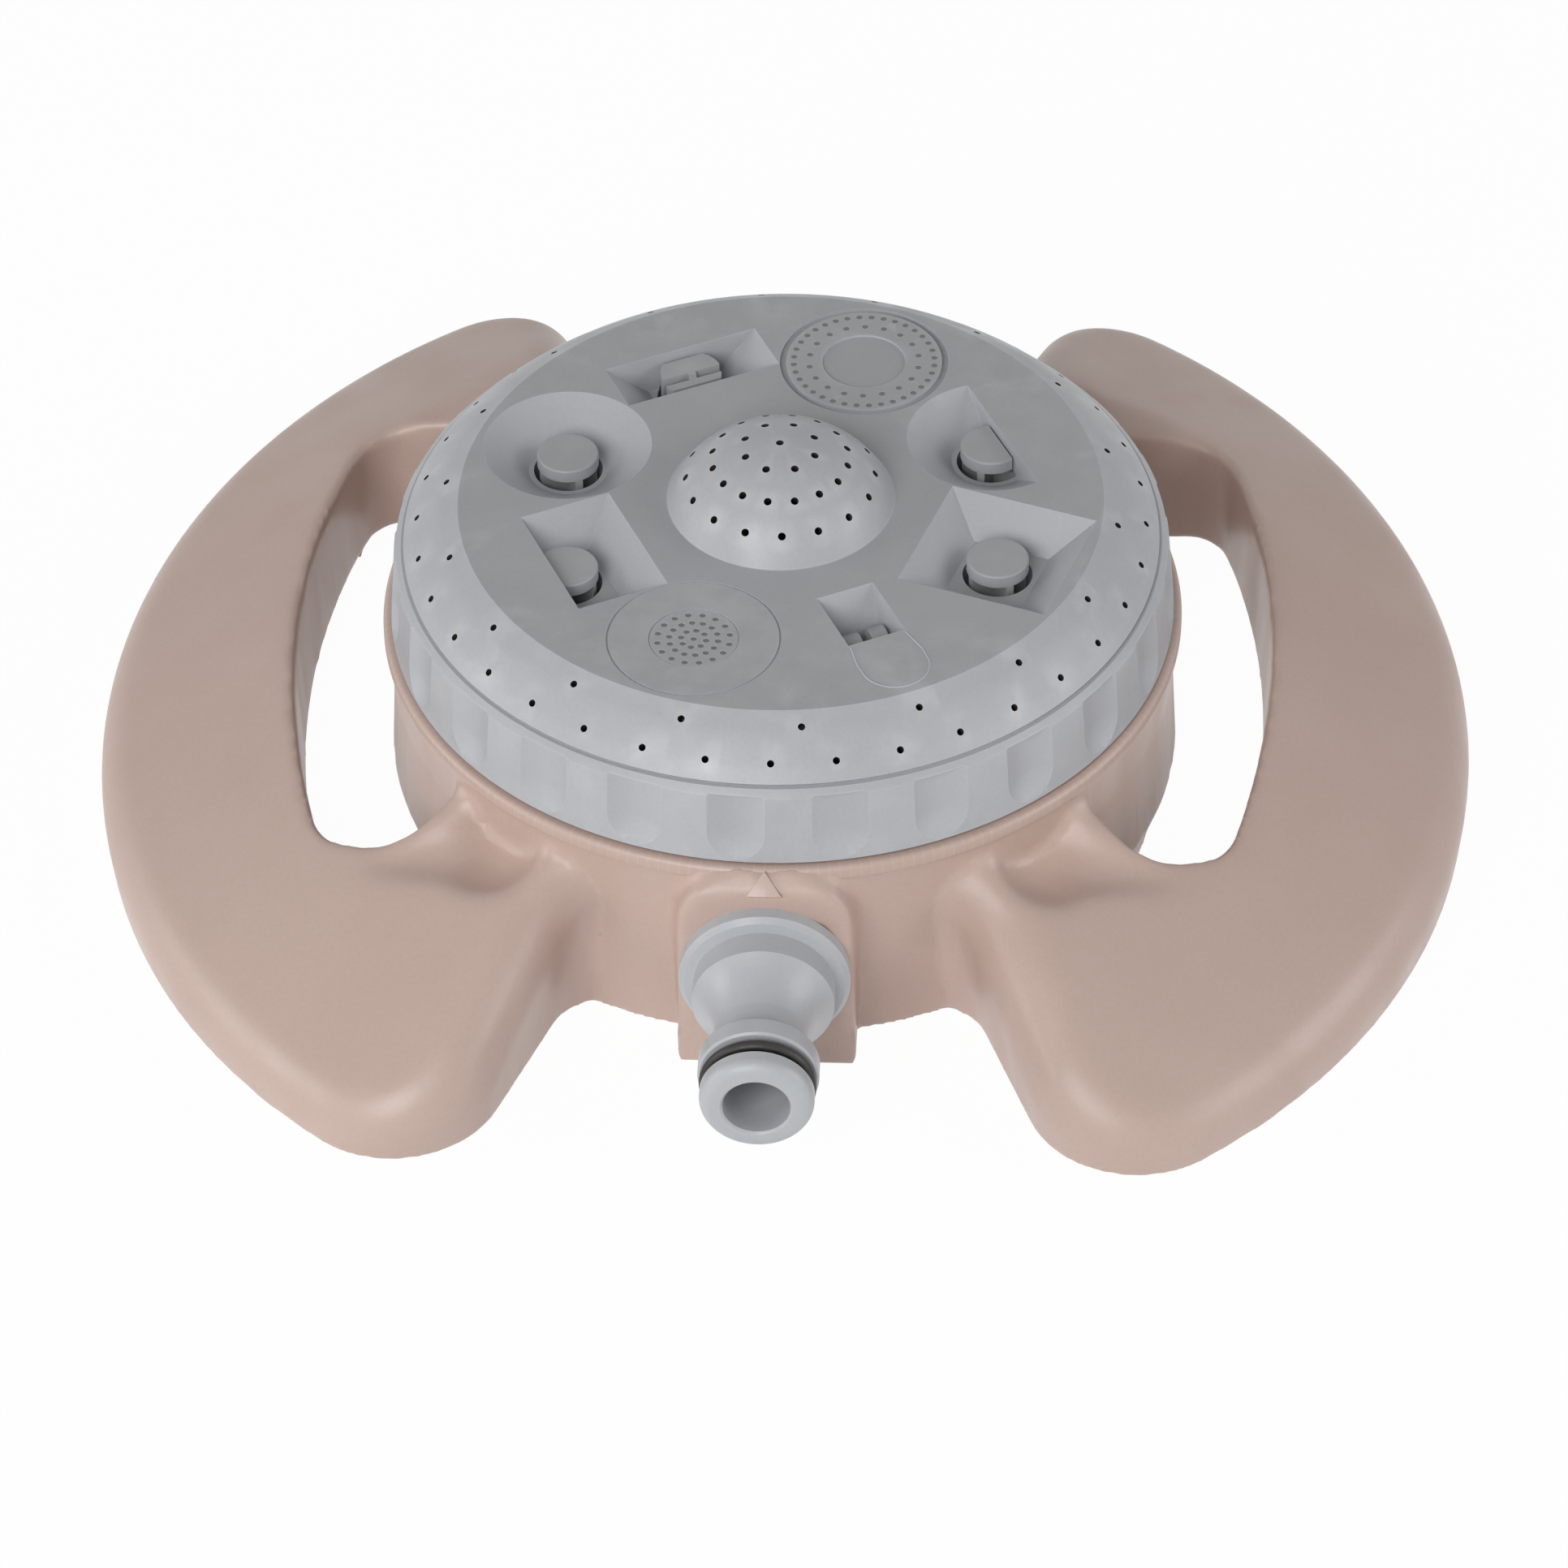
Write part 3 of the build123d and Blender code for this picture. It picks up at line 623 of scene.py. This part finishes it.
def softBase():
    base = mergedCopy("base_shell", "baseShell")
    applyModifier(base, "REMESH", mode="VOXEL", voxel_size=baseShape["voxel"], use_smooth_shade=True)
    markEdges(base)
    wings = base.vertex_groups.new(name="wings")
    valleys = base.vertex_groups.new(name="valleys")
    reach = baseShape["valleyReach"]
    for vertex in base.data.vertices:
        place = vertex.co
        flat = math.hypot(place.x, place.y)
        if flat > baseShape["wingRadius"] and abs(place.x) > baseShape["blockHalfWidth"]:
            wings.add([vertex.index], 1.0, "REPLACE")
        for centre in baseShape["valleys"]:
            gap = (Vector((abs(place.x), place.y, place.z)) - centre).length
            if gap < reach and flat > baseShape["valleyRadius"]:
                valleys.add([vertex.index], min(1.0, 2.0 * (1 - gap / reach)), "REPLACE")
        gap = (Vector((abs(place.x), place.y, place.z)) - baseShape["notch"]).length
        if gap < baseShape["notchReach"]:
            valleys.add([vertex.index], 1 - gap / baseShape["notchReach"], "REPLACE")
    applyModifier(base, "SMOOTH", factor=0.5, iterations=baseShape["allRounds"])
    applyModifier(base, "SMOOTH", factor=0.5, iterations=baseShape["wingRounds"], vertex_group="wings")
    applyModifier(base, "SMOOTH", factor=0.5, iterations=baseShape["edgeRounds"], vertex_group="edges")
    applyModifier(base, "SMOOTH", factor=0.5, iterations=baseShape["valleyRounds"], vertex_group="valleys")
    applyModifier(base, "DECIMATE", ratio=baseShape["keep"])
    pick(base)
    bpy.ops.object.shade_smooth()
    dress(base, "baseShell", materials["basePlastic"], "base")
    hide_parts("base_shell")
    print("base shell:", len(base.data.polygons), "faces")
    return base


softBase()


# Crisp ledge round the top of the drum

ledge = {
    "outer": 56.72 * mm, "inner": 54.25 * mm, "low": 31.4 * mm, "high": 33.92 * mm,
    "chamfer": 0.7 * mm, "sides": 240,
}


def drumLedge():
    bpy.ops.mesh.primitive_plane_add(size=1.0, location=(0, 0, 0))
    ring = bpy.context.object
    editMode(ring)
    bpy.ops.mesh.select_all(action="SELECT")
    bpy.ops.transform.rotate(value=math.pi / 2, orient_axis="X", center_override=(0, 0, 0))
    width = ledge["outer"] - ledge["inner"]
    height = ledge["high"] - ledge["low"]
    bpy.ops.transform.resize(value=(width, 1.0, height), center_override=(0, 0, 0))
    middle = ((ledge["outer"] + ledge["inner"]) / 2, 0, (ledge["low"] + ledge["high"]) / 2)
    bpy.ops.transform.translate(value=middle)
    bpy.ops.mesh.bevel(offset=ledge["chamfer"], segments=3, affect="VERTICES")
    bpy.ops.mesh.select_all(action="SELECT")
    bpy.ops.mesh.spin(steps=ledge["sides"], angle=2 * math.pi, center=(0, 0, 0), axis=(0, 0, 1))
    bpy.ops.mesh.select_all(action="SELECT")
    bpy.ops.mesh.remove_doubles(threshold=0.01 * mm)
    bpy.ops.mesh.select_all(action="SELECT")
    bpy.ops.mesh.normals_make_consistent(inside=False)
    objectMode()
    settle(ring)
    bpy.ops.object.shade_smooth_by_angle(angle=math.radians(40))
    return dress(ring, "drumLedge", materials["basePlastic"], "base")


drumLedge()


# Raised arrow on the sloping top of the inlet block

arrow = {
    "width": 4.9 * mm, "length": 3.6 * mm, "rise": 1.25 * mm, "soft": 0.15 * mm,
    "foot": Vector((0, -58.7 * mm, 30.9 * mm)), "slope": 45.0,
}


def pointerArrow():
    bpy.ops.mesh.primitive_cylinder_add(vertices=3, radius=1.0, depth=1.0)
    mark = bpy.context.object
    editMode(mark)
    bpy.ops.mesh.select_all(action="SELECT")
    sideways = arrow["width"] / math.sqrt(3)
    upwards = arrow["length"] / 1.5
    bpy.ops.transform.resize(value=(sideways, upwards, arrow["rise"]), center_override=(0, 0, 0))
    bpy.ops.transform.translate(value=(0, upwards / 2, arrow["rise"] / 2))
    bpy.ops.mesh.bevel(offset=arrow["soft"], segments=2, affect="EDGES")
    objectMode()
    mark.rotation_euler = (math.radians(arrow["slope"]), 0, 0)
    mark.location = arrow["foot"]
    settle(mark)
    bpy.ops.object.shade_smooth_by_angle(angle=math.radians(35))
    return dress(mark, "pointerArrow", materials["basePlastic"], "base")


pointerArrow()


# Dotted plates of the two shower pictograms

# darker grey for the floors of the shallow dots: painted shade in the dimples
dotShadeTones = {"color": srgb(122, 121, 121), "deep": srgb(110, 109, 109), "pale": srgb(138, 137, 137)}
dotShade = plasticMaterial("dotFloorShade", {**looks["dialPlastic"], **dotShadeTones})
plateSides = {"plate": 96, "middle": 72, "dot": 14}
plates = {
    "roseDots": {
        "station": 0, "outer": 6.15 * mm, "inner": 0.0, "low": 53.02 * mm, "high": 53.2 * mm,
        "rows": [(1, 0.0, 0.0), (8, 1.77, 10.0), (14, 3.4, 0.0), (16, 5.05, 8.0)],
        "dot": 0.46 * mm, "deep": 0.12 * mm,
    },
    "ringDots": {
        "station": 4, "outer": 11.15 * mm, "inner": 6.0 * mm, "low": 53.25 * mm, "high": 53.36 * mm,
        "rows": [(36, 10.1, 5.0), (18, 7.9, 0.0)],
        "dot": 0.46 * mm, "deep": 0.05 * mm,
    },
}


def dottedPlate(name, shape):
    middle = (shape["low"] + shape["high"]) / 2
    thick = shape["high"] - shape["low"]

    def disc(sides, radius, depth, place):
        bpy.ops.mesh.primitive_cylinder_add(vertices=sides, radius=radius, depth=depth, location=place)
        return bpy.context.object

    plate = disc(plateSides["plate"], shape["outer"], thick, (0, 0, middle))
    settle(plate)
    cutters = []
    if shape["inner"]:
        cutters.append(disc(plateSides["middle"], shape["inner"], 4 * thick, (0, 0, middle)))
    for count, radius, first in shape["rows"]:
        for step in range(count):
            angle = math.radians(first + 360 * step / count)
            spot = (radius * mm * math.cos(angle), radius * mm * math.sin(angle), shape["high"])
            cutters.append(disc(plateSides["dot"], shape["dot"], 2 * shape["deep"], spot))
    deselectAll()
    for cutter in cutters:
        cutter.select_set(True)
    bpy.context.view_layer.objects.active = cutters[0]
    bpy.ops.object.join()
    tool = bpy.context.object
    settle(tool)
    applyModifier(plate, "BOOLEAN", operation="DIFFERENCE", object=tool, solver="EXACT")
    bpy.data.objects.remove(tool)
    plate.data.transform(stationFrame(shape["station"]))
    pick(plate)
    bpy.ops.object.shade_smooth_by_angle(angle=math.radians(30))
    dress(plate, name, [materials["dialPlastic"], dotShade], "dial")
    # faces at the floor of each dot take the painted shade
    floor = shape["high"] - shape["deep"]
    for face in plate.data.polygons:
        atFloor = abs(face.center.z - floor) < 0.01 * mm and face.normal.z > 0.9
        face.material_index = 1 if atFloor else 0
    return plate


for name, shape in plates.items():
    dottedPlate(name, shape)


# Fine raised line of the fan pictogram, from the pocket round to its other side

fanLine = {
    "station": 1, "near": 33.6 * mm, "far": 39.3 * mm, "halfWidth": 4.8 * mm, "nearShare": 0.86,
    "straight": 1.6 * mm, "arcSteps": 16, "wire": 0.11 * mm,
}


def fanOutline():
    near = fanLine["near"] - dial["stationRadius"]
    far = fanLine["far"] - dial["stationRadius"]
    half = fanLine["halfWidth"]
    nearHalf = half * fanLine["nearShare"]
    corner = far - fanLine["straight"]
    track = [(near, -nearHalf), (corner, -half)]
    for step in range(1, fanLine["arcSteps"]):
        angle = math.radians(-90 + 180 * step / fanLine["arcSteps"])
        track.append((far + half * math.cos(angle), half * math.sin(angle)))
    track += [(corner, half), (near, nearHalf)]
    curve = bpy.data.curves.new("fanOutline", "CURVE")
    curve.dimensions = "3D"
    curve.bevel_depth = fanLine["wire"]
    curve.bevel_resolution = 2
    curve.use_fill_caps = True
    line = curve.splines.new("POLY")
    line.points.add(len(track) - 1)
    for point, (x, y) in zip(line.points, track):
        point.co = (x, y, dial["flatTop"], 1.0)
    outline = bpy.data.objects.new("fanOutline", curve)
    bpy.context.scene.collection.objects.link(outline)
    pick(outline)
    bpy.ops.object.convert(target="MESH")
    outline = bpy.context.object
    outline.data.transform(stationFrame(fanLine["station"]))
    bpy.ops.object.shade_smooth()
    return dress(outline, "fanOutline", materials["dialPlastic"], "dial")


fanOutline()
print("pieces made")


# Camera at the photograph's place

cameraPlace = {
    "azimuth": 3.1, "elevation": 41.883, "roll": -0.925,
    "aim": Vector((0, 0, 48.849 * mm)), "aside": (0.408 * mm, -37.018 * mm), "distance": 1059.774 * mm,
    "sensor": 36.0, "focalPixels": 9272.6, "photoWidth": 1932, "clip": (0.05, 50.0),
}


def addCamera():
    azimuth, elevation, roll = (math.radians(cameraPlace[key]) for key in ("azimuth", "elevation", "roll"))
    back = Vector((
        math.sin(azimuth) * math.cos(elevation),
        -math.cos(azimuth) * math.cos(elevation),
        math.sin(elevation),
    ))
    level = Vector((math.cos(azimuth), math.sin(azimuth), 0))
    upright = back.cross(level)
    right = level * math.cos(roll) + upright * math.sin(roll)
    up = upright * math.cos(roll) - level * math.sin(roll)
    aside, below = cameraPlace["aside"]
    place = cameraPlace["aim"] + right * aside + up * below + back * cameraPlace["distance"]
    camera = bpy.data.objects.new("camera", bpy.data.cameras.new("camera"))
    bpy.context.scene.collection.objects.link(camera)
    turned = Matrix((right, up, back)).transposed().to_4x4()
    camera.matrix_world = Matrix.Translation(place) @ turned
    camera.data.lens = cameraPlace["sensor"] * cameraPlace["focalPixels"] / cameraPlace["photoWidth"]
    camera.data.sensor_width = cameraPlace["sensor"]
    camera.data.clip_start, camera.data.clip_end = cameraPlace["clip"]
    bpy.context.scene.camera = camera


addCamera()


# Floor, world and soft light

light = {
    "aim": Vector((0, 0, 0.03)),
    "worldLevel": 0.28,
    "horizonShare": 1.2,
    "zenithShare": 0.5,
    "floorRadius": 3.0,
    "floorHeight": -0.0002,
    "floorColor": (0.96, 0.96, 0.96, 1.0),
    "floorGlow": 0.97,
    "floorFill": 0.20,
    "key": {"place": (-0.50, -1.35, 0.98), "size": 1.1, "watts": 16.5},
    "left": {"place": (-1.50, -0.25, 0.45), "size": 0.9, "watts": 5.5},
    "right": {"place": (1.45, -0.20, 0.60), "size": 1.1, "watts": 7.0},
}


def addFloor():
    place = (0, 0, light["floorHeight"])
    radius = light["floorRadius"]
    bpy.ops.mesh.primitive_circle_add(vertices=64, radius=radius, fill_type="NGON", location=place)
    floor = bpy.context.object
    settle(floor)
    floor.name = "floor"
    material = bpy.data.materials.new("floorWhite")
    material.use_nodes = True
    tree = material.node_tree
    shader = tree.nodes["Principled BSDF"]
    shader.inputs["Base Color"].default_value = light["floorColor"]
    shader.inputs["Roughness"].default_value = 0.9
    shader.inputs["Specular IOR Level"].default_value = 0.1
    glow = tree.nodes.new("ShaderNodeEmission")
    glow.inputs["Strength"].default_value = 1.0
    seen = tree.nodes.new("ShaderNodeLightPath")
    direct = mathNode(tree, "MAXIMUM", seen.outputs["Is Camera Ray"], seen.outputs["Is Glossy Ray"])
    share = rangeNode(tree, direct, 0.0, 1.0, light["floorFill"], light["floorGlow"])
    mix = tree.nodes.new("ShaderNodeMixShader")
    tree.links.new(share, mix.inputs[0])
    tree.links.new(shader.outputs[0], mix.inputs[1])
    tree.links.new(glow.outputs[0], mix.inputs[2])
    tree.links.new(mix.outputs[0], tree.nodes["Material Output"].inputs["Surface"])
    floor.data.materials.append(material)


def addWorld():
    world = bpy.data.worlds.new("studio")
    bpy.context.scene.world = world
    world.use_nodes = True
    tree = world.node_tree
    background = tree.nodes["Background"]
    background.inputs["Color"].default_value = (1.0, 1.0, 1.0, 1.0)
    seen = tree.nodes.new("ShaderNodeLightPath")
    direct = mathNode(tree, "MAXIMUM", seen.outputs["Is Camera Ray"], seen.outputs["Is Glossy Ray"])
    direct = mathNode(tree, "MAXIMUM", direct, seen.outputs["Is Transmission Ray"])
    heading = tree.nodes.new("ShaderNodeSeparateXYZ")
    tree.links.new(tree.nodes.new("ShaderNodeTexCoord").outputs["Generated"], heading.inputs[0])
    share = rangeNode(tree, heading.outputs["Z"], 0.0, 1.0, light["horizonShare"], light["zenithShare"])
    fill = mathNode(tree, "MULTIPLY", share, light["worldLevel"])
    rest = mathNode(tree, "SUBTRACT", 1.0, direct)
    level = mathNode(tree, "ADD", mathNode(tree, "MULTIPLY", fill, rest), direct)
    tree.links.new(level, background.inputs["Strength"])


def addLamp(name, lamp):
    data = bpy.data.lights.new(name, "AREA")
    data.shape = "DISK"
    data.size = lamp["size"]
    data.energy = lamp["watts"]
    thing = bpy.data.objects.new(name, data)
    bpy.context.scene.collection.objects.link(thing)
    thing.location = lamp["place"]
    towards = light["aim"] - Vector(lamp["place"])
    thing.rotation_euler = towards.to_track_quat("-Z", "Y").to_euler()


addFloor()
addWorld()
for name in ("key", "left", "right"):
    addLamp(name, light[name])
bpy.context.scene.view_settings.view_transform = "Standard"
print("light and camera set")
